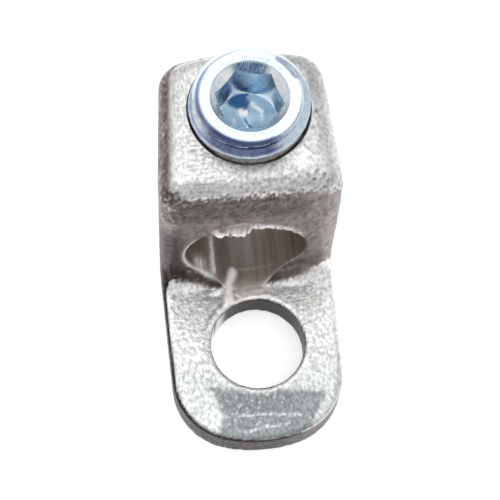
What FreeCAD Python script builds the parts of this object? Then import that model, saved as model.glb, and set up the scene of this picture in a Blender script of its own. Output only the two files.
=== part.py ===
"""Mechanical lug: a cast body with a bolt-down tongue and a bored block, and the set screw in the block.

The body is one tin-plated casting. A stud goes through its flat tongue. The block behind the tongue has
a bore for the bared conductor and, above the bore, the hole of the set screw, which is driven down with
a hex key and presses the conductor onto the floor of the bore.

Frame, in millimetres: the origin is the centre of the stud hole on the flat underside, +Z is up,
+Y runs from the tongue to the block, and X runs across.
"""

import FreeCAD
import Part
import os
from math import cos, radians, sin, sqrt, tan

Vec = FreeCAD.Vector
UP = Vec(0, 0, 1)
BACKWARD = Vec(0, 1, 0)

# Casting
middle_offset = -0.38  # of the casting's middle plane from the drilled holes, as they were drilled

# Tongue
tongue_width = 19.5  # at its root
tongue_taper = 0.35  # how far each side draws in towards the front
tongue_thickness = 3.9
tongue_reach = 11.35  # from the stud hole's centre to the front end
nose_radius = 15.0
nose_corner = 7.4
stud_hole_diameter = 10.5
stud_rim_round = 0.3
tongue_edge_round = 0.6

# Block
block_front = 8.4  # from the stud hole's centre to the block's front face
block_length = 17.2
block_height = 25.8
block_taper = 1.15  # how far each side draws in from the tongue's width to the block's back
back_bow_radius = 28.0
back_corner = 3.2
waist_start = 2.4  # behind the front face, where the sides begin to draw in
waist_radius = 30.0
cove_radius = 2.2
front_edge_round = 1.8
top_edge_round = 2.4

# Conductor bore
bore_diameter = 13.4
bore_bite = 0.25  # how far the bore runs into the tongue's upper face
bore_offset = -0.37  # of its axis from the casting's middle plane

# Set screw, half an inch across the crests of its thread
screw_diameter = 12.7
screw_length = 11.3
screw_clearance = 0.06  # all round, in its hole
screw_hole_chamfer = 0.3
screw_from_front = 9.7  # from the block's front face to the screw's axis
screw_stand = 2.65  # how far the screw stands above the block
screw_top_land = 10.6  # diameter of the flat ring round the socket
screw_tip_land = 9.6
socket_flats = 6.35
socket_depth = 5.4  # to the end of the flats
socket_mouth_diameter = 8.3
socket_chamfer_angle = 45.0
socket_drill_angle = 118.0
socket_turn = -13.0  # about the screw's axis, as it was left

# Places that follow from the sizes
half_width = tongue_width / 2
half_back = half_width - block_taper
block_back = block_front + block_length
bore_radius = bore_diameter / 2
bore_z = tongue_thickness - bore_bite + bore_radius
screw_radius = screw_diameter / 2
screw_hole_radius = screw_radius + screw_clearance
bore_x = middle_offset + bore_offset
screw_y = block_front + screw_from_front
screw_top = block_height + screw_stand
screw_bottom = screw_top - screw_length


def arc(start, middle, end):
    """Circular edge through three points."""
    return Part.Arc(start, middle, end).toShape()


def line(start, end):
    """Straight edge."""
    return Part.LineSegment(start, end).toShape()


def rounded(shape, radii):
    """The shape with its edges rounded; radii holds (edge number from 1, first radius, last radius)."""
    document = FreeCAD.newDocument()
    base = document.addObject("Part::Feature")
    base.Shape = shape
    fillet = document.addObject("Part::Fillet")
    fillet.Base = base
    fillet.Edges = radii
    document.recompute()
    result = fillet.Shape.copy()
    FreeCAD.closeDocument(document.Name)
    return result


def numbered(shape, wanted):
    """Numbers from 1 of the edges whose middle point passes the test."""
    return [i for i, edge in enumerate(shape.Edges, 1) if wanted(edge.CenterOfMass)]


def same(a, b):
    """Whether two lengths are equal, but for rounding."""
    return abs(a - b) < 1e-5


def outline():
    """Plan of the casting with sharp corners: curved nose, straight sides, drawn-in waist, bowed back."""
    half_front = half_width - tongue_taper
    nose_rise = nose_radius - sqrt(nose_radius**2 - half_front**2)
    bow_rise = back_bow_radius - sqrt(back_bow_radius**2 - half_back**2)
    nose = Vec(half_front, nose_rise - tongue_reach)
    waist = Vec(half_width, block_front + waist_start)
    rear = Vec(half_back, block_back - bow_rise)

    forward = (nose - waist).normalize()
    rearward = (rear - waist).normalize()
    half_angle = forward.getAngle(rearward) / 2
    reach = waist_radius / tan(half_angle)
    inward = (forward + rearward).normalize()
    bend = [
        waist + forward * reach,
        waist + inward * (waist_radius / sin(half_angle) - waist_radius),
        waist + rearward * reach,
    ]

    def other(point):
        return Vec(-point.x, point.y)

    edges = [
        arc(other(nose), Vec(0, -tongue_reach), nose),
        line(nose, bend[0]),
        arc(*bend),
        line(bend[2], rear),
        arc(rear, Vec(0, block_back), other(rear)),
        line(other(rear), other(bend[2])),
        arc(*[other(point) for point in reversed(bend)]),
        line(other(bend[0]), other(nose)),
    ]
    return Part.Wire(edges)


def casting():
    """The body before drilling: the plan's prism, stepped down to the tongue, with its edges rounded."""
    prism = Part.Face(outline()).extrude(UP * block_height)
    half = block_height / 2
    nose_edges = numbered(prism, lambda c: same(c.z, half) and c.y < 0)
    rear_edges = numbered(prism, lambda c: same(c.z, half) and c.y > block_back - block_length / 3)
    radii = [(i, nose_corner, nose_corner) for i in nose_edges]
    radii += [(i, back_corner, back_corner) for i in rear_edges]
    prism = rounded(prism, radii)

    # The step leaves a cove where the block's front face meets the tongue
    reach = 2 * tongue_reach
    corner = Vec(-tongue_width, -reach, tongue_thickness)
    step = Part.makeBox(2 * tongue_width, reach + block_front, block_height, corner)
    inner = numbered(step, lambda c: same(c.y, block_front) and same(c.z, tongue_thickness))
    step = step.makeFillet(cove_radius, [step.Edges[i - 1] for i in inner])
    body = prism.cut(step)

    cove_top = tongue_thickness + cove_radius
    cove_front = block_front - cove_radius
    top = numbered(body, lambda c: same(c.z, block_height))
    tongue = numbered(body, lambda c: same(c.z, tongue_thickness) and c.y < cove_front - 1e-3)
    front = numbered(body, lambda c: same(c.y, block_front) and cove_top < c.z < block_height - 1e-3)
    front = [i for i in front if abs(body.Edges[i - 1].CenterOfMass.x) > half_width / 2]
    cove = numbered(body, lambda c: cove_front < c.y < block_front and tongue_thickness < c.z < cove_top)

    radii = [(i, top_edge_round, top_edge_round) for i in top]
    radii += [(i, tongue_edge_round, tongue_edge_round) for i in tongue]
    radii += [(i, front_edge_round, front_edge_round) for i in front]
    for i in cove:
        starts_low = body.Edges[i - 1].firstVertex(True).Z < cove_top - cove_radius / 2
        ends = (tongue_edge_round, front_edge_round)
        radii.append((i, *ends) if starts_low else (i, *reversed(ends)))
    return rounded(body, radii)


def lathe(profile):
    """Solid of revolution about the Z axis from (radius, height) points."""
    points = [Vec(radius, 0, height) for radius, height in profile]
    return Part.Face(Part.makePolygon(points + points[:1])).revolve(Vec(), UP, 360)


def lug_body():
    """The casting, drilled for the stud, the conductor and the set screw."""
    body = casting().translated(Vec(middle_offset, 0, 0))

    drill = Part.makeCylinder(stud_hole_diameter / 2, 3 * tongue_thickness, UP * -tongue_thickness)
    body = body.cut(drill)
    rim = [edge for edge in body.Edges if edge.CenterOfMass.isEqual(UP * tongue_thickness, 1e-5)]
    body = body.makeFillet(stud_rim_round, rim)

    bore = Part.makeCylinder(bore_radius, block_back + block_length, Vec(bore_x, 0, bore_z), BACKWARD)
    body = body.cut(bore)

    chamfer = screw_hole_chamfer
    hole = [
        (0, bore_z),
        (screw_hole_radius, bore_z),
        (screw_hole_radius, block_height - chamfer),
        (screw_hole_radius + 2 * chamfer, block_height + chamfer),
        (0, block_height + chamfer),
    ]
    return body.cut(lathe(hole).translated(Vec(0, screw_y, 0)))


def set_screw():
    """Round plug with chamfered ends, and a hexagon socket with a drilled floor and a countersunk mouth."""
    top_slope = screw_radius - screw_top_land / 2
    tip_slope = screw_radius - screw_tip_land / 2
    profile = [
        (0, 0),
        (screw_tip_land / 2, 0),
        (screw_radius, tip_slope),
        (screw_radius, screw_length - top_slope),
        (screw_top_land / 2, screw_length),
        (0, screw_length),
    ]
    plug = lathe(profile)

    corner = socket_flats / 2 / cos(radians(30))
    corners = [Vec(corner * cos(radians(a)), corner * sin(radians(a)), 0) for a in range(0, 361, 60)]
    floor = screw_length - socket_depth
    hexagon = Part.Face(Part.makePolygon(corners)).extrude(UP * socket_depth)
    hexagon.translate(UP * floor)
    hexagon.rotate(Vec(), UP, socket_turn)
    drill_radius = socket_flats / 2
    point_height = drill_radius / tan(radians(socket_drill_angle / 2))
    point = lathe([(0, floor - point_height), (drill_radius, floor), (0, floor)])
    mouth_radius = socket_mouth_diameter / 2
    mouth_depth = mouth_radius / tan(radians(socket_chamfer_angle))
    mouth = lathe([(0, screw_length - mouth_depth), (mouth_radius, screw_length), (0, screw_length)])
    plug = plug.cut([hexagon, point, mouth])
    return plug.translated(Vec(0, screw_y, screw_bottom))


def main():
    os.makedirs("parts", exist_ok=True)
    lug_body().exportStep("parts/lug_body.step")
    set_screw().exportStep("parts/set_screw.step")


main()
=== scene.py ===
# %% [markdown]
# # A mechanical lug
# This lesson dresses a small cable lug: one tin-plated casting with a flat tongue and a bored block, and a
# zinc-plated set screw. The shapes come from the CAD frame. Here they get what a foundry, a file and a lathe
# leave on them: a grainy skin, soft edges, a burr, a thread and chatter marks.

import math

import bmesh
import bpy
import numpy as np
from mathutils import Matrix, Vector, noise


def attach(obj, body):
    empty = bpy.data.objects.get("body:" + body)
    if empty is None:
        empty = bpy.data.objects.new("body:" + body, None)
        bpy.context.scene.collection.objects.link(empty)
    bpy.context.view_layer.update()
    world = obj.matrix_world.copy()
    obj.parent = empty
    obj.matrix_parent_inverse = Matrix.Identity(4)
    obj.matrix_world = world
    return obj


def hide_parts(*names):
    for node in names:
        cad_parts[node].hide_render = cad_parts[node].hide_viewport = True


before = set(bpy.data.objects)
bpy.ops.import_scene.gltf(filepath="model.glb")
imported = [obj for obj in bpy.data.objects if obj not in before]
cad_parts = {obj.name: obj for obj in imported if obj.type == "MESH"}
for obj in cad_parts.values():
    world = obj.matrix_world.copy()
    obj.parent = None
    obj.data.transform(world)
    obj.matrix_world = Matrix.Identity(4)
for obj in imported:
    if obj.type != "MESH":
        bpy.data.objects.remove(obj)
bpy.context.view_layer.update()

# %% [markdown]
# ## The camera
# The photo was taken by hand from nearly above, a little to the left of the lug and tilted by some degrees.
# A long lens 187 mm away gives the same outline as the photo. The camera is built from its own three axes,
# because a tilt about the line of sight is hard to read from Euler angles.

# %% Camera
MM = 0.001
PHOTO_SIDE = 500  # pixels
FOCAL = 1700  # pixels
DISTANCE = 186.94 * MM
TARGET = Vector((-0.286, 8.451, 10.583)) * MM
ELEVATION = math.radians(67.15)
TO_THE_LEFT = math.radians(10.91)
ROLL = math.radians(5.61)
SENSOR = 36.0  # mm
CLIP_START = 10 * MM


def put_in_scene(name, data):
    """An object with this mesh, lamp or lens, linked to the scene."""
    thing = bpy.data.objects.new(name, data)
    bpy.context.scene.collection.objects.link(thing)
    return thing


to_camera = Vector((
    -math.sin(TO_THE_LEFT) * math.cos(ELEVATION),
    -math.cos(TO_THE_LEFT) * math.cos(ELEVATION),
    math.sin(ELEVATION),
))
level = Vector((0, 0, 1)).cross(to_camera).normalized()
upright = to_camera.cross(level)
camera_x = level * math.cos(ROLL) + upright * math.sin(ROLL)
camera_y = upright * math.cos(ROLL) - level * math.sin(ROLL)

lens = bpy.data.cameras.new("photo_camera")
lens.sensor_width = SENSOR
lens.lens = FOCAL / PHOTO_SIDE * SENSOR
lens.clip_start = CLIP_START
camera = put_in_scene("photo_camera", lens)
stand = Matrix((camera_x, camera_y, to_camera)).transposed().to_4x4()
stand.translation = TARGET + to_camera * DISTANCE
camera.matrix_world = stand
bpy.context.scene.camera = camera
print("camera at, mm:", [round(1000 * x, 1) for x in stand.translation])

# %% [markdown]
# ## Tools for materials
# Colours are written as they look on a screen and turned to linear light by one function. One small function
# adds a node with its settings and links. Patterns are sized in real millimetres.


# %% Node tools
def linear(hexadecimal):
    """A screen colour such as '#dcdcda' as linear red, green, blue and alpha."""
    parts = [int(hexadecimal[i : i + 2], 16) / 255 for i in (1, 3, 5)]
    return [c / 12.92 if c <= 0.04045 else ((c + 0.055) / 1.055) ** 2.4 for c in parts] + [1.0]


def add(tree, kind, inputs=None, **settings):
    """A node with its settings; an input is linked where it is a node or a socket, and otherwise set."""
    node = tree.nodes.new(kind)
    for key, value in settings.items():
        setattr(node, key, value)
    for key, value in (inputs or {}).items():
        if isinstance(value, bpy.types.Node):
            value = value.outputs[0]
        if isinstance(value, bpy.types.NodeSocket):
            tree.links.new(value, node.inputs[key])
        else:
            node.inputs[key].default_value = value
    return node


def per_metre(size_mm):
    """The texture scale that gives features of this size in millimetres."""
    return 1000.0 / size_mm


def new_material(name):
    """A material with an empty node tree but for its shader, which is returned with the tree."""
    material = bpy.data.materials.new(name)
    material.use_nodes = True
    tree = material.node_tree
    tree.nodes.clear()
    shader = add(tree, "ShaderNodeBsdfPrincipled")
    add(tree, "ShaderNodeOutputMaterial", {"Surface": shader})
    return material, tree, shader


print("middle grey #808080 is", round(linear("#808080")[0], 3), "in linear light")

# %% [markdown]
# ## Tools for marks
# A mark is a weight from 0 to 1 at every point of a mesh. Marks steer the shape, and they lay colours over
# the piece, one after the other, like thin coats of paint. The last coat is stored in the mesh as `paint`.
# Image textures would need an unwrapped surface, and these marks only need the place of each point.


# %% Weights from places
def step(values, low, high):
    """0 below low, 1 above high and smooth between."""
    t = np.clip((values - low) / (high - low), 0, 1)
    return t * t * (3 - 2 * t)


def band(values, low, high, soft):
    """1 between low and high and 0 outside, with soft ends."""
    return step(values, low - soft, low + soft) * (1 - step(values, high - soft, high + soft))


def bump(values, middle, width):
    """A bell of this half width."""
    return np.exp(-(((values - middle) / width) ** 2))


def from_line(u, v, corners):
    """Distance of each point (u, v) from a line through the corners."""
    nearest = np.full(len(u), np.inf)
    for (au, av), (bu, bv) in zip(corners, corners[1:]):
        du, dv = bu - au, bv - av
        t = np.clip(((u - au) * du + (v - av) * dv) / (du * du + dv * dv), 0, 1)
        nearest = np.minimum(nearest, np.hypot(u - au - t * du, v - av - t * dv))
    return nearest


def grain(points, size, seed, octaves=1):
    """Noise from about -1 to 1 with features of this size in millimetres, one or one for each axis."""
    shift = np.array([seed * 7.3, seed * 3.1, seed * 5.7])
    scaled = points / np.array(size) + shift
    if octaves == 1:
        return np.array([noise.noise(p) for p in scaled.tolist()])
    return np.array([noise.fractal(p, 1.0, 2.0, octaves) for p in scaled.tolist()])


print("a step at its middle:", float(step(np.array(0.5), 0, 1)))


# %% Paint and storage
def coat(points, colour):
    """A first coat of one screen colour for this many points."""
    return np.tile(np.array(linear(colour)[:3]), (points, 1))


def lay(paint, weight, colour):
    """Lay a screen colour over the paint by a weight."""
    weight = np.clip(weight, 0, 1)[:, None]
    paint += weight * (np.array(linear(colour)[:3]) - paint)


def store(mesh, name, values):
    """A number, or a colour, at every point of the mesh, for its material."""
    if values.ndim == 1:
        numbers = mesh.attributes.new(name, "FLOAT", "POINT")
        numbers.data.foreach_set("value", values.astype(np.float32))
    else:
        with_alpha = np.column_stack([values, np.ones(len(values))]).astype(np.float32)
        colours = mesh.attributes.new(name, "FLOAT_COLOR", "POINT")
        colours.data.foreach_set("color", with_alpha.ravel())


def points_and_normals(mesh):
    """Arrays of the mesh's points and their normals."""
    points = np.empty(len(mesh.vertices) * 3)
    normals = np.empty(len(mesh.vertices) * 3, np.float32)
    mesh.vertices.foreach_get("co", points)
    mesh.vertex_normals.foreach_get("vector", normals)
    return points.reshape(-1, 3), normals.reshape(-1, 3).astype(float)


def triangles(mesh):
    """How many triangles the mesh's faces make."""
    return sum(len(face.vertices) - 2 for face in mesh.polygons)


print("a coat for two points:", coat(2, "#f3f3f1").shape)

# %% [markdown]
# ## One rule for two threads
# The screw's thread and the tapped hole's thread follow the same helix, so one Geometry Nodes tree cuts both.
# It moves points towards or away from an axis, by how far they lie from the nearest crest. Its inputs are the
# sizes of the thread. A helix swept along a curve would leave overlapping faces, and this doesn't.

# %% Sizes and sockets of the thread
PITCH = 25.4 / 13  # mm, half-inch coarse thread, 13 turns to the inch
CREST_SHARE = 0.1  # of the pitch, half a crest's flat
FLANK = math.sqrt(3)  # height over width of a 60 degree flank

cutter = bpy.data.node_groups.new("cut_thread", "GeometryNodeTree")
SIZES = ("Axis X", "Axis Y", "Pitch", "Depth", "Crest Height")
sockets = [("Geometry", "INPUT", "NodeSocketGeometry")]
sockets += [(size, "INPUT", "NodeSocketFloat") for size in SIZES]
sockets += [("Material", "INPUT", "NodeSocketMaterial"), ("Geometry", "OUTPUT", "NodeSocketGeometry")]
for label, way, kind in sockets:
    cutter.interface.new_socket(label, in_out=way, socket_type=kind)
given = add(cutter, "NodeGroupInput").outputs
print("thread tree:", len(cutter.interface.items_tree), "sockets")

# %% [markdown]
# ## How deep is a point of the thread?
# Unrolled, a thread is a saw-tooth: the height in turns minus the angle in turns gives the place between two
# crests. The steps below work it out one after the other. Each line is one Math node: its name, what it does,
# and its values, which are numbers or names of what came before.

# %% The thread's rule
here = add(cutter, "ShaderNodeSeparateXYZ", {0: add(cutter, "GeometryNodeInputPosition")}).outputs
marked = add(cutter, "GeometryNodeInputNamedAttribute", {"Name": "threaded"}, data_type="FLOAT")
known = {"x": here["X"], "y": here["Y"], "z": here["Z"], "marked": marked.outputs[0]}
known |= {size: given[size] for size in SIZES}
for result, operation, *values in (
    ("across", "SUBTRACT", "x", "Axis X"),
    ("along", "SUBTRACT", "y", "Axis Y"),
    ("angle", "ARCTAN2", "along", "across"),
    ("angle in turns", "DIVIDE", "angle", 2 * math.pi),
    ("above crest", "SUBTRACT", "z", "Crest Height"),
    ("rise in turns", "DIVIDE", "above crest", "Pitch"),
    ("turns", "SUBTRACT", "rise in turns", "angle in turns"),
    ("turns from front", "ADD", "turns", 0.25),
    ("share of turn", "FRACT", "turns from front"),
    ("from middle", "SUBTRACT", "share of turn", 0.5),
    ("share from crest", "ABSOLUTE", "from middle"),
    ("from crest", "MULTIPLY", "share from crest", "Pitch"),
    ("half flat", "MULTIPLY", "Pitch", CREST_SHARE),
    ("past flat", "SUBTRACT", "from crest", "half flat"),
    ("sloping", "MULTIPLY", "past flat", FLANK),
    ("not raised", "MAXIMUM", "sloping", 0.0),
    ("full depth", "ABSOLUTE", "Depth"),
    ("deep", "MINIMUM", "not raised", "full depth"),
    ("way", "SIGN", "Depth"),
    ("move", "MULTIPLY", "deep", "way"),
    ("marked move", "MULTIPLY", "move", "marked"),
):
    inputs = {place: known.get(value, value) for place, value in enumerate(values)}
    known[result] = add(cutter, "ShaderNodeMath", inputs, operation=operation).outputs[0]
print("thread rule:", len(cutter.nodes), "nodes")

# %% The end of the thread's tree
flat = add(cutter, "ShaderNodeCombineXYZ", {"X": known["across"], "Y": known["along"], "Z": 0.0})
outward = add(cutter, "ShaderNodeVectorMath", {0: flat}, operation="NORMALIZE")
inputs = {0: outward, "Scale": known["marked move"]}
offset = add(cutter, "ShaderNodeVectorMath", inputs, operation="SCALE")
moved = add(cutter, "GeometryNodeSetPosition", {"Geometry": given["Geometry"], "Offset": offset})
real = add(cutter, "GeometryNodeRealizeInstances", {"Geometry": moved})
dressed = add(cutter, "GeometryNodeSetMaterial", {"Geometry": real, "Material": given["Material"]})
add(cutter, "NodeGroupOutput", {0: dressed})
print("thread tree:", len(cutter.nodes), "nodes")


# %% Using the tree
def settled(piece):
    """The piece's mesh with its modifiers applied, which are then removed."""
    depsgraph = bpy.context.evaluated_depsgraph_get()
    mesh = bpy.data.meshes.new_from_object(piece.evaluated_get(depsgraph), depsgraph=depsgraph)
    piece.modifiers.clear()
    piece.data = mesh
    return mesh


def cut_thread(piece, sizes, material):
    """The piece with a thread where its 'threaded' attribute says so; a positive depth cuts outwards."""
    modifier = piece.modifiers.new("thread", "NODES")
    modifier.node_group = cutter
    values = dict(zip(SIZES, sizes))
    values["Material"] = material
    for item in cutter.interface.items_tree:
        if item.in_out == "INPUT" and item.name in values:
            modifier[item.identifier] = values[item.name]
    return settled(piece)


print("a turn of the thread rises", round(PITCH, 3), "mm")

# %% [markdown]
# ## Tin-plated casting
# The real finish is dull tin over a cast skin. Tin is a warm white metal, so the shader is fully metallic and
# keeps the default IOR. Its roughness of about 0.4 blurs the studio into a soft glow. Two bumps give grain:
# one of 0.5 mm, like orange peel, and one of 0.2 mm, like fine sand. Finer grain would not show in the
# render. Light and dark specks of 0.36 mm follow the grain that the photo shows on the flat tops.

# %% Colour and gloss of the tin
tin, tree, shader = new_material("dull_tin_plate")
place = add(tree, "ShaderNodeTexCoord").outputs["Object"]
paint_here, mottled_here, burr_and_glints_here = [
    add(tree, "ShaderNodeAttribute", attribute_name=name).outputs[output]
    for name, output in (("paint", "Color"), ("mottled", "Fac"), ("burr_and_glints", "Fac"))
]
drawn_out = add(tree, "ShaderNodeVectorMath", {0: place, 1: (1.0, 0.68, 0.85)}, operation="MULTIPLY")
specks = add(tree, "ShaderNodeTexNoise", {"Vector": drawn_out, "Scale": per_metre(0.36)})
limits = {"Value": specks, "From Min": 0.34, "From Max": 0.6}
shade = add(tree, "ShaderNodeMapRange", limits, interpolation_type="SMOOTHSTEP")
colours = {0: shade, 6: linear("#dadddd"), 7: linear("#ffffff")}
shaded = add(tree, "ShaderNodeMix", colours, data_type="RGBA").outputs[2]
colours = {0: mottled_here, 6: paint_here, 7: shaded}
colour = add(tree, "ShaderNodeMix", colours, data_type="RGBA", blend_type="MULTIPLY").outputs[2]
tree.links.new(colour, shader.inputs["Base Color"])
# On the real burr and on the painted glints the tin turns non-metallic, so that it scatters light like a
# white powder, a painted highlight
for source, low, high, target in ((burr_and_glints_here, 1.0, 0.1, "Metallic"), (shade, 0.43, 0.38, "Roughness")):
    limits = {"Value": source, "To Min": low, "To Max": high}
    gloss = add(tree, "ShaderNodeMapRange", limits, interpolation_type="SMOOTHSTEP")
    tree.links.new(gloss.outputs[0], shader.inputs[target])
print("dull tin plate:", len(tree.nodes), "nodes")

# %% Grain of the tin
sandy = add(tree, "ShaderNodeTexNoise", {"Vector": place, "Scale": per_metre(0.2), "Roughness": 0.6})
peel = add(tree, "ShaderNodeTexNoise", {"Vector": place, "Scale": per_metre(0.5), "Detail": 1.0})
inputs = {"Height": sandy, "Strength": mottled_here, "Distance": 0.03 * MM}
fine = add(tree, "ShaderNodeBump", inputs)
inputs = {"Height": peel, "Strength": mottled_here, "Distance": 0.05 * MM, "Normal": fine}
coarse = add(tree, "ShaderNodeBump", inputs)
tree.links.new(coarse.outputs["Normal"], shader.inputs["Normal"])
print("dull tin plate with its grain:", len(tree.nodes), "nodes")

# %% [markdown]
# ## The casting's shape
# The CAD body has perfect faces. A real casting doesn't: its skin is slightly wavy, its edges are soft, and
# the bore's drill pushed up a lip. A voxel remesh turns the CAD skin into an even net of small quads, fine
# enough to carry these marks as real shape. All of it is worked in millimetres and shrunk at the end.

# %% An even net over the casting
NET = 0.207  # mm, keeps the piece under 200,000 triangles


def in_millimetres(node, name):
    """A merged copy of a CAD node's mesh, scaled to millimetres."""
    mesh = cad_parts[node].data.copy()
    mesh.transform(Matrix.Scale(1 / MM, 4))
    shape = bmesh.new()
    shape.from_mesh(mesh)
    bmesh.ops.remove_doubles(shape, verts=shape.verts, dist=1e-4)
    shape.to_mesh(mesh)
    shape.free()
    mesh.materials.clear()
    return put_in_scene(name, mesh)


casting = in_millimetres("lug_body", "lug_casting")
net = casting.modifiers.new("even_net", "REMESH")
net.mode = "VOXEL"
net.voxel_size = NET
net.use_smooth_shade = True
soften = casting.modifiers.new("soft_edges", "SMOOTH")
soften.factor = 0.5
soften.iterations = 2
skin = settled(casting)
print("casting net:", len(skin.vertices), "points,", len(skin.polygons), "faces")

# %% [markdown]
# ## Where is what?
# The marks differ from place to place: cast skin, a machined bore, a drilled hole. Each place gets a weight,
# found from distances to the drilled axes and from the way each face looks. From here on the numbers in a
# mark are places and widths on the casting in millimetres, angles in degrees, and strengths from 0 to 1.

# %% Places on the casting
BORE_RADIUS = 6.7
BORE_X, BORE_HEIGHT = -0.75, 10.35
HOLE_RADIUS = 5.25
SCREW_Y = 18.1
SCREW_HOLE_RADIUS = 6.41
BLOCK_FRONT, BLOCK_TOP, TONGUE_TOP = 8.4, 25.8, 3.9
LIGHT_FROM = (0.30, -0.10, 0.95)  # painted light: faces that look this way are painted bright tin, and faces turned from it get painted shade

spots, faces_to = points_and_normals(skin)
start = spots.copy()
x, y, z = start.T
from_bore = np.hypot(x - BORE_X, z - BORE_HEIGHT)
from_hole = np.hypot(x, y)
from_screw = np.hypot(x, y - SCREW_Y)
round_bore = np.degrees(np.arctan2(z - BORE_HEIGHT, x - BORE_X))
turned_at = np.degrees(np.arctan2(y, x))
to_bore = ((BORE_X - x) * faces_to[:, 0] + (BORE_HEIGHT - z) * faces_to[:, 2]) / from_bore
on_bore = bump(from_bore, BORE_RADIUS, 0.2) * step(to_bore, 0.9, 0.985) * step(y, 3.8, 4.4)
on_hole = (1 - step(np.abs(from_hole - HOLE_RADIUS), 0.06, 0.22)) * (z < TONGUE_TOP - 0.35)
on_screw_hole = 1 - step(np.abs(from_screw - SCREW_HOLE_RADIUS), 0.06, 0.25)
on_screw_hole *= z > BORE_HEIGHT + 3
on_block_top = step(z, 22.6, 24.6)
on_tongue = 1 - step(z, 3.9, 5.2)
facing_light = faces_to @ np.array(LIGHT_FROM)
facing_front = step(-faces_to[:, 1], 0.25, 0.6) * (y > 5.5)
above_axis = step(z, BORE_HEIGHT + 2, BORE_HEIGHT + 3.5)
print("points on the bore's wall:", int((on_bore > 0.5).sum()))

# %% [markdown]
# ## Cast skin, lip, dents and burr
# Sand in the mould leaves a skin with waves, pebbles and grit of three sizes. The drill pushed a lip over the
# bore's mouth and tore a burr beside the groove in the tongue, and knocks left dents. Sculpting could do
# this by hand, but moving each point by a weight can be repeated and changed later.

# %% Cast skin
waves = grain(start, 3.2, 1)
pebbles = grain(start, (0.42, 0.95, 0.5), 2)
sand = grain(start, (0.3, 0.3, 0.5), 4)
cast = (1 - on_bore) * (1 - on_hole) * (1 - on_screw_hole) * step(z, 0.05, 0.4)
rugged = np.clip(facing_front + on_block_top * step(10.6 - y, -0.6, 1.2), 0, 1)
raised = cast * (0.03 * waves + 0.036 * pebbles * (1 - rugged) + 0.085 * sand * rugged)
spots += faces_to * raised[:, None]
print("cast skin moved by up to, mm:", round(float(np.abs(raised).max()), 3))

# %% Lip, chamfer and dents
# The lip over the bore's mouth stands out furthest a little to the left of the middle
LIP_AT = [-5.2, -4.3, -3.6, -2.6, -1.2, -0.75, -0.3, 0.5, 2.2, 3.5, 4.5, 5.8]
LIP_REACH = [0.0, 0.35, 0.8, 0.95, 1.15, 0.9, 0.45, 0.38, 0.22, 0.15, 0.1, 0.0]
at_mouth = bump(from_bore, BORE_RADIUS + 0.15, 0.5) * bump(y, BLOCK_FRONT, 0.5)
reach = np.interp(x, LIP_AT, LIP_REACH) * (1 + 0.5 * grain(start, 0.4, 3))
spots[:, 1] -= at_mouth * above_axis * reach

# The tap and the file closed the chamfer round the screw
rim = band(from_screw, SCREW_HOLE_RADIUS + 0.03, SCREW_HOLE_RADIUS + 0.4, 0.03)
rim *= step(z, BLOCK_TOP - 0.6, BLOCK_TOP - 0.4)
spots[:, 2] += rim * (BLOCK_TOP - z)

for dent_x, dent_y, wide, depth in ((-4.9, 6.9, 0.55, 0.22), (-4.3, 5.9, 0.6, 0.2), (4.7, 2.3, 0.45, 0.18)):
    dent = bump(x, dent_x, wide) * bump(y, dent_y, 0.6 * wide) * (np.abs(z - TONGUE_TOP) < 0.5)
    spots[:, 2] -= depth * dent
print("the lip reaches out by, mm:", round(float((at_mouth * above_axis * reach).max()), 2))

# %% Burr and torn places in the bore
burr = from_line(x, y, [(-1.95, 8.7), (-2.55, 7.2), (-2.85, 5.1)])
on_burr = bump(burr, 0, 0.4) * band(z, 3.5, 5.4, 0.1) * step(y, 4.6, 5.4)
spots[:, 2] += 0.22 * on_burr
spots += faces_to * (0.16 * sand * on_burr)[:, None]
opening = on_bore * (1 - step(y, 6.5, 8.5))
spots += faces_to * (0.07 * sand * opening)[:, None]
in_bore = from_bore < BORE_RADIUS + 0.5
glint = bump(round_bore, -120.3, 3.5) * step(y, 8.2, 8.8) * (1 - step(y, 11.5, 17)) * in_bore
glint_wedge = bump(round_bore, -137, 12) * bump(y, 9.3, 1.0) * in_bore
spots += faces_to * ((0.12 * sand + 0.1 * pebbles) * np.clip(glint + glint_wedge, 0, 1))[:, None]
print("points on the burr:", int((on_burr > 0.5).sum()))

# %% The casting's new shape
# The block's right side draws in a little towards its top
lean = step(x, 5.5, 9.0) * step(z, 14, 25) * (1 - step(y, 12, 20))
spots[:, 0] -= 0.25 * lean
skin.vertices.foreach_set("co", spots.ravel())
tapped = on_screw_hole * (1 - step(z, BLOCK_TOP - 1.0, BLOCK_TOP - 0.5))
store(skin, "threaded", tapped)
print("points to be tapped:", int((tapped > 0.5).sum()))

# %% [markdown]
# ## Colours of the casting
# Flat tops facing the light are bright tin. Walls turned from the light are painted dark brown, a painted
# shade. The grey patch at the tongue's front is a painted dark reflection, and the left of the block's top
# was filed. Each line lays one coat of colour by a weight, from large areas to small marks. Layered noise in
# the shader could not put them in their places.

# %% First coat
edge = 0.5 * grain(start, 1.3, 5) + 0.3 * grain(start, 0.5, 6)
flecks = grain(start, (0.26, 0.3, 0.5), 7)
paint = coat(len(x), "#f3f3f1")
print("points to paint:", len(paint))

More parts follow.
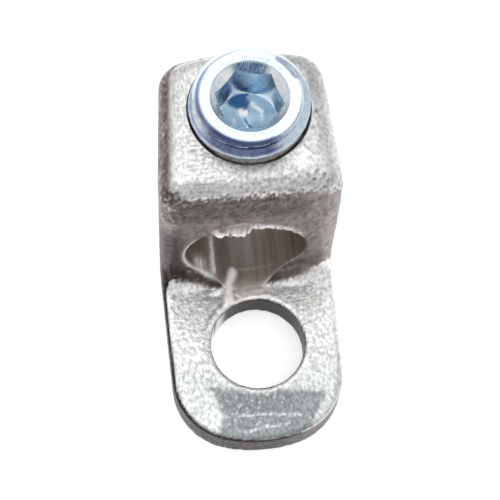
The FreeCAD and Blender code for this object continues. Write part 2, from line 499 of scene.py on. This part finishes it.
# %% The block's top
shade_back_right = step(x + 0.3 * (y - 18) + edge, 3.0, 5.0) * step(y, 17, 20)
front_strip = band(x + edge, -2.9, 4.2, 0.6) * band(y + 0.3 * edge, 10.2, 12.2, 0.5)
pitted_edge = rugged * step(-flecks - 0.3 * waves, -0.1, 0.3)
filed = band(x + edge, -7.2, -3.4, 0.5) * band(y, 8.8, 15.8, 0.6)
FILE_TOOTH = 0.33  # mm between two file marks
file_marks = step(np.cos(2 * math.pi * (y + 0.05 * x) / FILE_TOOTH + 2 * edge) + flecks, 0.3, 1.0)
for weight, colour in (
    (0.7, "#e6e7e5"),  # even tin
    (0.75 * step(x + edge, 3.2, 5.6), "#c9cac9"),  # painted shade, greyer right of the screw and at the back right
    (shade_back_right, "#bdbebd"),
    (0.7 * front_strip, "#c2c3c2"),
    (0.8 * bump(x, 5.2, 0.8) * bump(y, 12.3, 1.2), "#f8f8f6"),  # a bright spot
    (0.8 * pitted_edge, "#7b7978"),
    (0.7 * step(-x + edge, 1.5, 5.0), "#d8d8d6"),  # left of the screw
    (0.5 * rugged, "#d2d2d1"),  # the rounding to the front
    (0.6 * filed * file_marks, "#8f9090"),
):
    lay(paint, on_block_top * weight, colour)
print("points with file marks:", int((on_block_top * filed * file_marks > 0.5).sum()))

# %% Scratches, pits and the shadow by the screw
for u in (-7.75, -7.3, -6.85, -6.45):
    curve = [(u + 0.55, 23.2), (u + 0.1, 21.0), (u, 18.6), (u + 0.25, 16.4)]
    lay(paint, on_block_top * bump(from_line(x, y, curve), 0, 0.09) * 0.5, "#9fa0a0")
scratch = from_line(x, y, [(4.8, 14.1), (6.1, 12.3)])
lay(paint, on_block_top * bump(scratch, 0, 0.09) * 0.7, "#6e6b69")
PITS = ((6.4, 15.3), (7.0, 17.2), (5.2, 10.1), (5.9, 9.6), (6.2, 10.4), (7.1, 10.0))
for pit_x, pit_y in PITS:
    lay(paint, on_block_top * bump(np.hypot(x - pit_x, y - pit_y), 0, 0.16), "#5b5755")
round_screw = np.degrees(np.arctan2(y - SCREW_Y, x))
shadow = bump(from_screw, 6.5, 0.55) * band(round_screw, -128, -66, 9)
lay(paint, on_block_top * shadow * 0.8, "#6b625c")
# Painted shadow: a grey fade on the top in front of the screw
lay(paint, on_block_top * bump(from_screw, 6.9, 1.0) * bump(x, -0.3, 3.2) * (y < 14) * 0.5, "#8e8b89")
print("pits on the block's top:", len(PITS))

# %% The tongue's painted dark reflection, scratches, and painted light and shade round the stud hole
on_tongue_top = on_tongue * step(facing_light, 0.6, 0.85)
# Painted shade: the tongue greyer towards its front
lay(paint, on_tongue * step(-y + edge, -2.0, 5.0) * 0.75, "#cccfce")
# Painted reflection: the grey patch at the tongue's front is a dark reflection painted into the colour
patch = step(x + 1.2 * edge + 0.35 * np.abs(y + 8), -5.1, -4.3)
patch *= step(-y + 0.8 * edge - 0.12 * x, 5.0, 5.8)
patch *= 1 - step(0.72 * x - 0.42 * (y + 6.5) + 0.4 * edge, 4.7, 5.3)
darkest_reflection = band(x, -3.5, 3.0, 0.8) * band(y, -8.2, -5.8, 0.4)
rear = step(y + 0.4 * edge, 4.6, 6.2) * step(x, -1.0, 2.0) + step(y + 0.4 * edge, 5.4, 6.6) * (x < 0)
for weight, colour in (
    (0.95 * patch, "#8e9394"),
    (0.5 * patch * darkest_reflection, "#7c8182"),  # darker in its middle
    (0.7 * patch * step(flecks + 0.4 * edge, 0.35, 0.7), "#e4e7e8"),  # lighter specks in it
):
    lay(paint, on_tongue_top * weight, colour)
for corners in ([(-4.8, -8.3), (-0.6, -8.35), (3.8, -8.75)], [(-2.4, -10.2), (0.3, -9.85), (2.6, -9.7)]):
    line = bump(from_line(x, y, corners), 0, 0.12) * step(flecks, -0.4, 0.2)
    lay(paint, on_tongue_top * line * 0.8, "#e9ecec")
lay(paint, on_tongue_top * rear * step(-sand, -0.15, 0.3) * 0.35, "#a9abab")
# Painted highlight on the stud hole's rounded rim, and painted shade in a grey arc outside it at its upper
# left
ring = on_tongue * (z > TONGUE_TOP - 0.5)
lay(paint, ring * bump(from_hole, HOLE_RADIUS + 0.35, 0.3), "#fafaf8")
lay(paint, ring * bump(from_hole, HOLE_RADIUS + 0.85, 0.22) * band(turned_at, 112, 165, 12) * 0.55, "#8b8d8d")
print("points on the grey patch:", int((on_tongue_top * patch > 0.5).sum()))

# %% Where the walls are, which get painted shade
# Painted shade: a face is a wall where it turns from the light, sooner on the tongue's left and front and on
# the block's left
left_or_front = np.where(x + 0.5 * y < -1.5, 1.0, 0.0)
bright_from = np.where(on_tongue > 0.5, 0.45 + 0.25 * left_or_front, 0.47 + 0.19 * step(-x, 6.5, 8.5))
softness = np.where(on_tongue > 0.5, 0.3 - 0.2 * left_or_front, 0.3)
ragged = facing_front * (0.2 * flecks + 0.15 * sand + 0.1 * edge)
wall = 1 - step(facing_light + ragged, bright_from - softness / 2, bright_from + softness / 2)

# The painted shade runs down into the cove between block and tongue, to here
COVE_X = [-9.5, -8.0, -5.8, -4.2, 1.2, 3.2, 5.6, 7.4, 9.2]
COVE_Y = [9.2, 8.0, 7.4, 6.9, 6.8, 7.1, 7.5, 8.4, 9.3]
root = np.interp(x, COVE_X, COVE_Y)
cove_shade = step(y - root + 0.3 * edge + 0.35 * flecks, -0.35, 0.35)
cove_shade = cove_shade * (z > 3.6) * (z < 9) * (facing_light > -0.2)
wall = np.maximum(wall, cove_shade)
print("points on walls:", int((wall > 0.5).sum()))

# %% The walls' painted shade, brown
cloud = step(grain(start, 2.4, 8), -0.4, 0.5)
# Painted shade: a darker band on the front under the top
shade_under_top = facing_front * band(z, 19.4, 26, 0.9)
light_line = facing_front * band(z, 21.8, 24, 0.6) * step(sand + 0.5 * flecks, 0.3, 0.6)
blotches = grain(start, (0.7, 0.8, 1.4), 13, 2)
for weight, colour in (
    (1.0, "#655a58"),  # painted shade, brown
    (0.6 * cloud, "#544a48"),  # clouds in it
    (facing_front * step(z, 6, 9) * (0.45 + 0.25 * step(x, -7, -3)), "#ada3a2"),
    (0.8 * facing_front * step(x + edge, 2.5, 6.0), "#968d8a"),  # painted light, lighter on the front's right
    (0.6 * step(-x, 8.2, 9.0) * step(z, 17, 21), "#776f6b"),  # high on the left
    (shade_under_top * (1 - 0.7 * step(x, 3, 7)) * (0.55 + 0.3 * step(-flecks, -0.1, 0.3)), "#3a3230"),
    (0.25 * light_line, "#cfcdcb"),
    (step(blotches, 0.0, 0.35) * (0.15 + 0.25 * facing_front), "#453d3b"),
    (0.25 * (1 - on_tongue) * step(-blotches, 0.05, 0.4), "#9d9693"),
    (0.5 * step(-x, 7, 9) * step(z, 12, 22) * step(flecks, 0.15, 0.4), "#c4bfbc"),
    (0.6 * facing_front * band(z, 3.6, 6.5, 0.5) * step(flecks, 0.3, 0.55), "#c9c6c4"),
    (0.9 * (1 - step(z, 14, 20)) * step(-x, 6.8, 8.6), "#37312f"),  # low on the left
):
    lay(paint, wall * weight, colour)
# Painted shade: the tongue's front wall darkest, lighter to the right
shaded_low_front = wall * on_tongue * (1 - step(y + edge, 5, 12))
lay(paint, shaded_low_front * 0.92, "#272220")
lay(paint, shaded_low_front * step(x + edge, 0.5, 5.5) * 0.7, "#6c6561")
lay(paint, shaded_low_front * step(flecks, 0.1, 0.5) * 0.35, "#8d8682")
print("points on the tongue's dark front:", int((shaded_low_front > 0.5).sum()))

# %% The bore, drawn along its axis, with painted glints at its left
drawn = grain(start, (0.45, 9.0, 0.45), 9)
# Painted highlights: white glints and a white wedge on the bore's left wall
for weight, colour in (
    (1.0, "#c6bcb4"),  # brown
    (0.5 * step(drawn, -0.2, 0.5), "#94897f"),  # drawn lines
    (glint * step(drawn + flecks, -0.6, 0.2), "#ffffff"),
    (glint_wedge * step(drawn + 0.5 * flecks, -0.5, 0.3), "#ffffff"),
    (0.8 * bump(y, 8.95, 0.1) * band(round_bore, -104, -58, 5), "#e6dfd8"),  # a fine arc
    (1 - step(y, 5.6, 8.2), "#fffaf4"),  # the groove in the tongue
):
    lay(paint, on_bore * weight, colour)
# Painted highlight: the bore mouth's left rim painted bright
highlit_left_rim = bump(from_bore, BORE_RADIUS + 0.1, 0.22) * bump(y, BLOCK_FRONT - 0.1, 0.5)
highlit_left_rim = highlit_left_rim * step(-x, 3.4, 4.4) * (1 - step(z, 14.2, 15.2))
lay(paint, highlit_left_rim, "#efefec")
lip = bump(from_bore, BORE_RADIUS + 0.2, 0.42) * bump(y, BLOCK_FRONT - 0.05, 0.5) * above_axis
lip = lip * band(x, -4.2, 5.4, 0.4) * step(flecks + 0.6 * sand, -0.45, 0.2)
lay(paint, lip * 1.3, "#f6f6f4")
# The real raised burr by the groove, painted white as a painted highlight
lay(paint, 1.3 * on_burr, "#ffffff")
print("points on the bright lip:", int((lip > 0.5).sum()))

# %% The stud hole: painted shade above and right, painted light at its left
hole_light = band(turned_at, 132, 200, 8) + (turned_at < -150)
drill_marks = step(grain(start, (0.6, 0.6, 5.0), 10), -0.9, -0.1)
# Painted shade on the hole's wall, and painted light with drill marks at its left
lay(paint, on_hole, "#211d1b")
lay(paint, on_hole * hole_light * drill_marks, "#dfe1e1")
print("points on the stud hole's wall:", int((on_hole > 0.5).sum()))

# %% The casting is done
TAP_DEPTH = 0.55
# The painted highlights and the real burr turn non-metallic white
glints_in_bore = on_bore * np.clip(glint * step(drawn, -0.5, 0.1) + glint_wedge, 0, 1)
burr_and_glints = np.clip(1.3 * on_burr + 0.9 * glints_in_bore, 0, 1)
mottled = cast * (1 - 0.6 * np.clip(wall, 0, 1))
store(skin, "burr_and_glints", np.maximum(burr_and_glints, 0.8 * highlit_left_rim))
store(skin, "paint", paint)
store(skin, "mottled", np.clip(mottled, 0, 1))
skin = cut_thread(casting, (0.0, SCREW_Y, PITCH, TAP_DEPTH, BLOCK_TOP), tin)
skin.transform(Matrix.Scale(MM, 4))
print("casting:", triangles(skin), "triangles,", skin.materials[0].name)

# %% [markdown]
# ## Bright zinc with a blue tint
# Zinc plating with a blue passivation is a bright metal with a cold tint, fully metallic and quite smooth.
# Inside the socket light bounces from wall to wall and takes the tint each time, so the socket turns blue.
# A haze of 0.9 mm and a bump of 0.3 mm keep the plating from looking like a mirror.

# %% Material of the screw
zinc, tree, shader = new_material("blue_zinc_plate")
place = add(tree, "ShaderNodeTexCoord").outputs["Object"]
clouds = add(tree, "ShaderNodeTexNoise", {"Vector": place, "Scale": per_metre(0.9), "Detail": 3.0})
limits = {"Value": clouds, "From Min": 0.3, "From Max": 0.7}
haze = add(tree, "ShaderNodeMapRange", limits, interpolation_type="SMOOTHSTEP")
colours = {0: haze, 6: linear("#e6edf2"), 7: linear("#ffffff")}
hazy = add(tree, "ShaderNodeMix", colours, data_type="RGBA").outputs[2]
paint_here = add(tree, "ShaderNodeAttribute", attribute_name="paint").outputs["Color"]
colours = {0: 1.0, 6: paint_here, 7: hazy}
colour = add(tree, "ShaderNodeMix", colours, data_type="RGBA", blend_type="MULTIPLY").outputs[2]
tree.links.new(colour, shader.inputs["Base Color"])
shader.inputs["Metallic"].default_value = 1.0
limits = {"Value": haze, "To Min": 0.20, "To Max": 0.30}
gloss = add(tree, "ShaderNodeMapRange", limits, interpolation_type="SMOOTHSTEP")
tree.links.new(gloss.outputs[0], shader.inputs["Roughness"])
fine = add(tree, "ShaderNodeTexNoise", {"Vector": place, "Scale": per_metre(0.3)})
fine_bump = add(tree, "ShaderNodeBump", {"Height": fine, "Strength": 0.4, "Distance": 0.02 * MM})
tree.links.new(fine_bump.outputs["Normal"], shader.inputs["Normal"])
print("blue zinc plate:", len(tree.nodes), "nodes")

# %% [markdown]
# ## The set screw
# The screw is a stack of rings, from the tip over the side and the top land down into the socket. The side
# starts as a plain cylinder. The node tree cuts the thread, and then the lathe's chamfers take both ends off.
# Cutting a hexagon out of a cylinder with a Boolean would leave long thin faces, and rings keep them even.

# %% The screw's sizes
CREST = 6.35
THREAD_DEPTH = 0.8  # less than nominal, as the photo shows little depth
SCREW_TOP, SCREW_TIP = 28.45, 17.15
TOP_LAND, TIP_LAND = 5.27, 4.8
MOUTH = 4.15
FLATS = 6.35
SOCKET_DEPTH = 5.4
HALF_DRILL_POINT = math.radians(59)
SOCKET_TURN = math.radians(-13.0)  # of a corner, from +X
CREST_AT_FRONT = 26.62  # height of the thread's crest on the side of the tongue
COLUMNS = 480
TICKS = 109  # chatter ticks in a turn, as coarse as they need to be to show
LAND_TICK, MOUTH_TICK = 0.012, 0.02  # how high they stand

angles = np.arange(COLUMNS) / COLUMNS * 2 * math.pi + SOCKET_TURN
corner_turn = (angles - SOCKET_TURN) % (math.pi / 3) - math.pi / 6
hexagon = FLATS / 2 / np.cos(corner_turn)
mouth_edge = SCREW_TOP - (MOUTH - hexagon)
floor_height = SCREW_TOP - SOCKET_DEPTH
ticks = np.cos(angles * TICKS)
print("hexagon across its corners, mm:", round(2 * float(hexagon.max()), 2))

# %% The screw's rings
COARSE_STEP, FINE_STEP = 0.25, 0.08  # mm between rings, below and above the next height
FINE_ABOVE = 21.0
whole = np.ones(COLUMNS)
lower = np.arange(SCREW_TIP, FINE_ABOVE, COARSE_STEP)
upper = np.arange(FINE_ABOVE, SCREW_TOP - 0.01, FINE_STEP)
rings = [("tip", 1e-3 * whole, SCREW_TIP * whole)]
rings += [("side", CREST * whole, height * whole) for height in (*lower, *upper, SCREW_TOP)]
for radius in (4.95, 4.65, 4.4, 4.22, MOUTH):
    rings.append(("land", radius * whole, SCREW_TOP + LAND_TICK * ticks * (4.2 < radius < 4.9)))
for share in (0.25, 0.5, 0.75, 1.0):
    radius = MOUTH + (hexagon - MOUTH) * share
    rings.append(("mouth", radius, SCREW_TOP - (MOUTH - radius) + MOUTH_TICK * ticks * (share < 1)))
for share in (0.02, 0.12, 0.25, 0.37, 0.5, 0.62, 0.75, 0.87, 0.97, 1.0):
    rings.append(("wall", hexagon, mouth_edge + (floor_height - mouth_edge) * share))
for share in (0.99, 0.95, 0.88, 0.8, 0.72, 0.64, 0.56, 0.48, 0.4, 0.32, 0.24, 0.16, 0.08, 0.0003):
    radius = FLATS / 2 * share * whole
    rings.append(("floor", radius, floor_height - (FLATS / 2 - radius) / math.tan(HALF_DRILL_POINT)))
print("the screw has", len(rings), "rings")

# %% From rings to a mesh
points = np.concatenate([
    np.stack([radius * np.cos(angles), radius * np.sin(angles) + SCREW_Y, height], 1)
    for _, radius, height in rings
])
part = np.repeat([name for name, _, _ in rings], COLUMNS)
row = np.arange(COLUMNS)
after = (row + 1) % COLUMNS
quads = np.stack([row, after, after + COLUMNS, row + COLUMNS], 1)
faces = np.concatenate([quads + k * COLUMNS for k in range(len(rings) - 1)])
mesh = bpy.data.meshes.new("threaded_set_screw")
mesh.from_pydata(points.tolist(), [], faces.tolist())
screw = put_in_scene("threaded_set_screw", mesh)
store(mesh, "threaded", (part == "side").astype(float))
mesh = cut_thread(screw, (0.0, SCREW_Y, PITCH, -THREAD_DEPTH, CREST_AT_FRONT), zinc)
print("threaded screw:", len(mesh.polygons), "faces")

# %% The lathe's chamfers
points, _ = points_and_normals(mesh)
x, y, z = (points - (0, SCREW_Y, 0)).T
thread_radius = np.hypot(x, y)
turned_at = np.degrees(np.arctan2(y, x))
top_cone = TOP_LAND + SCREW_TOP - z
tip_cone = TIP_LAND + z - SCREW_TIP
run_out = 0.45 * band(turned_at, 20, 54, 5) * step(z, 27.9, 28.2)
limit = np.minimum(top_cone, tip_cone) - run_out
radius = np.where(part == "side", np.minimum(thread_radius, limit), thread_radius)
points[:, 0] = x * radius / thread_radius
points[:, 1] = SCREW_Y + y * radius / thread_radius
print("points that the chamfers moved:", int((radius < thread_radius).sum()))

# %% [markdown]
# ## Paint on the screw
# The photo shows dark blue where the thread looks at the dark side of the room, and white where it looks at
# the lights. The plain sky here has no such dark side, so these coats paint those reflections into the
# colour: painted reflections in the roots and on the crests, a painted shadow in the gap in front, the ticks
# that the lathe's tool left and painted highlights as facets of light on the socket's floor.

# %% The thread and the chamfer, with painted reflections
grains = grain(points, 0.3, 11)
paint = coat(len(x), "#dce6ed")
on_side = (part == "side").astype(float)
dark_side = 1 - band(turned_at, -68, 140, 9)
high = step(z, 25.9, 26.3)
crest = step(radius, CREST - 0.22, CREST - 0.06)
ridge = bump(thread_radius, top_cone, 0.1) * step(radius, 5.5, 5.6)
root = high * (1 - crest) * (1 - ridge)
sides = (1 - band(turned_at, -150, 150, 12)) + band(turned_at, 100, 150, 12)
front = band(turned_at, -145, -62, 8)
# Painted reflections: dark blue where the thread looks at the dark side of the room, light where it looks at
# the lights
for weight, colour in (
    (1 - high, "#e4ebf2"),  # below the block's top
    ((1 - high) * band(turned_at, -150, -45, 10), "#968f8a"),  # painted shadow in the gap in front
    (root * dark_side, "#a2abc6"),  # painted reflection, dark blue roots
    (0.8 * root * band(turned_at, -142, -66, 9), "#5f678c"),
    (0.35 * high * (1 - dark_side) * (1 - crest), "#a8b6cc"),
    (high * crest * dark_side * (0.6 + 0.4 * step(grains, -0.2, 0.3)), "#d5def0"),
    (high * sides * bump(radius, 5.5, 0.1), "#6b769c"),
    (high * sides * bump(radius, 5.82, 0.14), "#eff4fa"),
    (0.8 * high * front * bump(radius, 5.45, 0.12), "#4c547c"),
    (0.7 * high * front * bump(radius, 6.0, 0.1) * (z > 27), "#454c74"),
    (0.4 * front * (1 - crest) * step(grains, 0.0, 0.5), "#2e3350"),
    (0.8 * step(z, 27.6, 28.0) * band(turned_at, 18, 56, 4), "#b5bdcd"),  # the run-out
):
    lay(paint, on_side * weight, colour)
print("points in the upper thread's root:", int((on_side * root > 0.5).sum()))

# %% The land and the socket's mouth
on_land = (part == "land").astype(float)
in_mouth = (part == "mouth").astype(float)
where_ticks = band(turned_at, -140, -55, 10) + band(turned_at, 55, 125, 10)
tick = 0.5 + 0.5 * np.cos(np.radians(turned_at) * TICKS)
land_ticks = where_ticks * tick * band(radius, 4.2, 4.9, 0.1) * step(grains, -0.3, 0.3)
lay(paint, on_land * land_ticks * 0.4, "#a9c4dc")
# Painted reflection: the mouth dark blue on its far side, with light ticks
for weight, colour in (
    (1.0, "#ffffff"),
    (band(turned_at, 55, 112, 8), "#5d7ba3"),
    (0.8 * band(turned_at, 55, 112, 12) * step(tick + grains, 0.7, 1.1), "#dfeaf4"),
    (band(turned_at, -25, 30, 6) * step(tick + grains, 0.5, 0.9), "#ffffff"),
):
    lay(paint, in_mouth * weight, colour)
print("points on land and mouth:", int((on_land + in_mouth).sum()))

# %% The socket's walls and floor
in_socket = ((part == "wall") | (part == "floor")).astype(float)
on_floor = (part == "floor").astype(float)
# Painted reflections: the floor deeper blue, darker on its far half, with white facets of painted highlight
# and a dark line
far_half = step(y + 0.3 * x, 1.2, 1.7)
lay(paint, in_socket, "#f0f7fc")
lay(paint, on_floor, "#c2daec")
lay(paint, on_floor * far_half * 0.6, "#7fa3c6")
lay(paint, on_floor * far_half * band(x + 0.3 * grains, -1.9, 0.3, 0.2), "#38608f")
HIGHLIGHT_FACETS = ((-0.35, 1.4, 0.5, 0.33), (-1.4, 0.35, 0.17, 0.4), (0.45, -0.65, 0.3, 0.2))
for facet_x, facet_y, wide, tall in HIGHLIGHT_FACETS:
    highlight_facet = band(x, facet_x - wide, facet_x + wide, 0.08) * band(y, facet_y - tall, facet_y + tall, 0.08)
    lay(paint, on_floor * highlight_facet, "#ffffff")
for corners, wide, colour in (
    ([(0.65, 2.15), (1.62, 1.25), (1.55, 0.3)], 0.16, "#ffffff"),
    ([(-0.23, 0.8), (0.8, -0.7)], 0.1, "#2c4f80"),
):
    lay(paint, on_floor * bump(from_line(x, y, corners), 0, wide), colour)
lay(paint, on_floor * bump(x, 0.85, 0.45) * bump(y, 0.6, 0.5) * 0.8, "#c3d8e6")
store(mesh, "paint", paint)
print("points in the socket:", int(in_socket.sum()))

# %% The screw is done
WELD = 0.002 * MM
SHARP = math.radians(32)
mesh.vertices.foreach_set("co", (points * MM).ravel())
shape = bmesh.new()
shape.from_mesh(mesh)
bmesh.ops.remove_doubles(shape, verts=shape.verts, dist=WELD)
bmesh.ops.recalc_face_normals(shape, faces=shape.faces)
shape.to_mesh(mesh)
shape.free()
mesh.shade_smooth()
mesh.set_sharp_from_angle(angle=SHARP)
print("set screw:", triangles(mesh), "triangles")

# %% [markdown]
# ## Ownership
# Each piece rides on its CAD body and takes the place of its CAD node, so that it moves with it and the CAD
# mesh no longer shows.

# %% Bodies
for piece, body, node, slot in (
    (casting, "lug", "lug_body", "tinned_casting"),
    (screw, "screw", "set_screw", "zinc_plated_steel"),
):
    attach(piece, body)
    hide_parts(node)
    print(piece.name, "rides on", body)

# %% [markdown]
# ## Studio
# The photo has a plain white ground and soft light from above. Here a white table, a sky that is brighter
# above than near the horizon, and one softbox almost overhead, which the flat faces mirror to the camera, do
# the same. The table glows a little, so that it shows as white as in the photo.

# %% Table
TABLE_SIDE = 3.0
TABLE_GAP = 0.02 * MM  # keeps it clear of the lug's underside
white, tree, shader = new_material("white_table")
for socket, value in (
    ("Base Color", linear("#fafafa")),
    ("Roughness", 0.9),
    ("Emission Color", linear("#ffffff")),
    ("Emission Strength", 0.5),
):
    shader.inputs[socket].default_value = value
table = bpy.data.meshes.new("table")
corners = [(u * TABLE_SIDE / 2, v * TABLE_SIDE / 2, 0) for u, v in ((-1, -1), (1, -1), (1, 1), (-1, 1))]
table.from_pydata(corners, [], [(0, 1, 2, 3)])
table.materials.append(white)
floor = put_in_scene("table", table)
floor.location.z = -TABLE_GAP
print("table:", TABLE_SIDE, "m wide")

# %% Sky
SKY_TOP = (0.1, 0.3, 0.95)  # where the sky is brightest
world = bpy.data.worlds.new("soft_sky")
bpy.context.scene.world = world
world.use_nodes = True
sky = world.node_tree
sky.nodes.clear()
inputs = {0: add(sky, "ShaderNodeTexCoord").outputs["Generated"], 1: SKY_TOP}
upward = add(sky, "ShaderNodeVectorMath", inputs, operation="DOT_PRODUCT").outputs["Value"]
limits = {"Value": upward, "From Min": -0.35, "From Max": 0.95, "To Min": 0.58, "To Max": 0.98}
brightness = add(sky, "ShaderNodeMapRange", limits, interpolation_type="SMOOTHSTEP")
background = add(sky, "ShaderNodeBackground", {"Color": linear("#ffffff"), "Strength": brightness})
add(sky, "ShaderNodeOutputWorld", {"Surface": background})
print("sky:", len(sky.nodes), "nodes")

# %% Softbox
BOX_SIDE, BOX_DISTANCE, BOX_WATTS = 0.40, 0.60, 0.56
toward_box = Vector((-0.08, 0.22, 0.97)).normalized()
lamp = bpy.data.lights.new("overhead_softbox", "AREA")
lamp.size = BOX_SIDE
lamp.energy = BOX_WATTS
softbox = put_in_scene("overhead_softbox", lamp)
softbox.location = TARGET + toward_box * BOX_DISTANCE
softbox.rotation_euler = toward_box.to_track_quat("Z", "Y").to_euler()
bpy.context.scene.view_settings.view_transform = "Standard"
print("softbox:", BOX_SIDE, "m wide,", BOX_WATTS, "W")
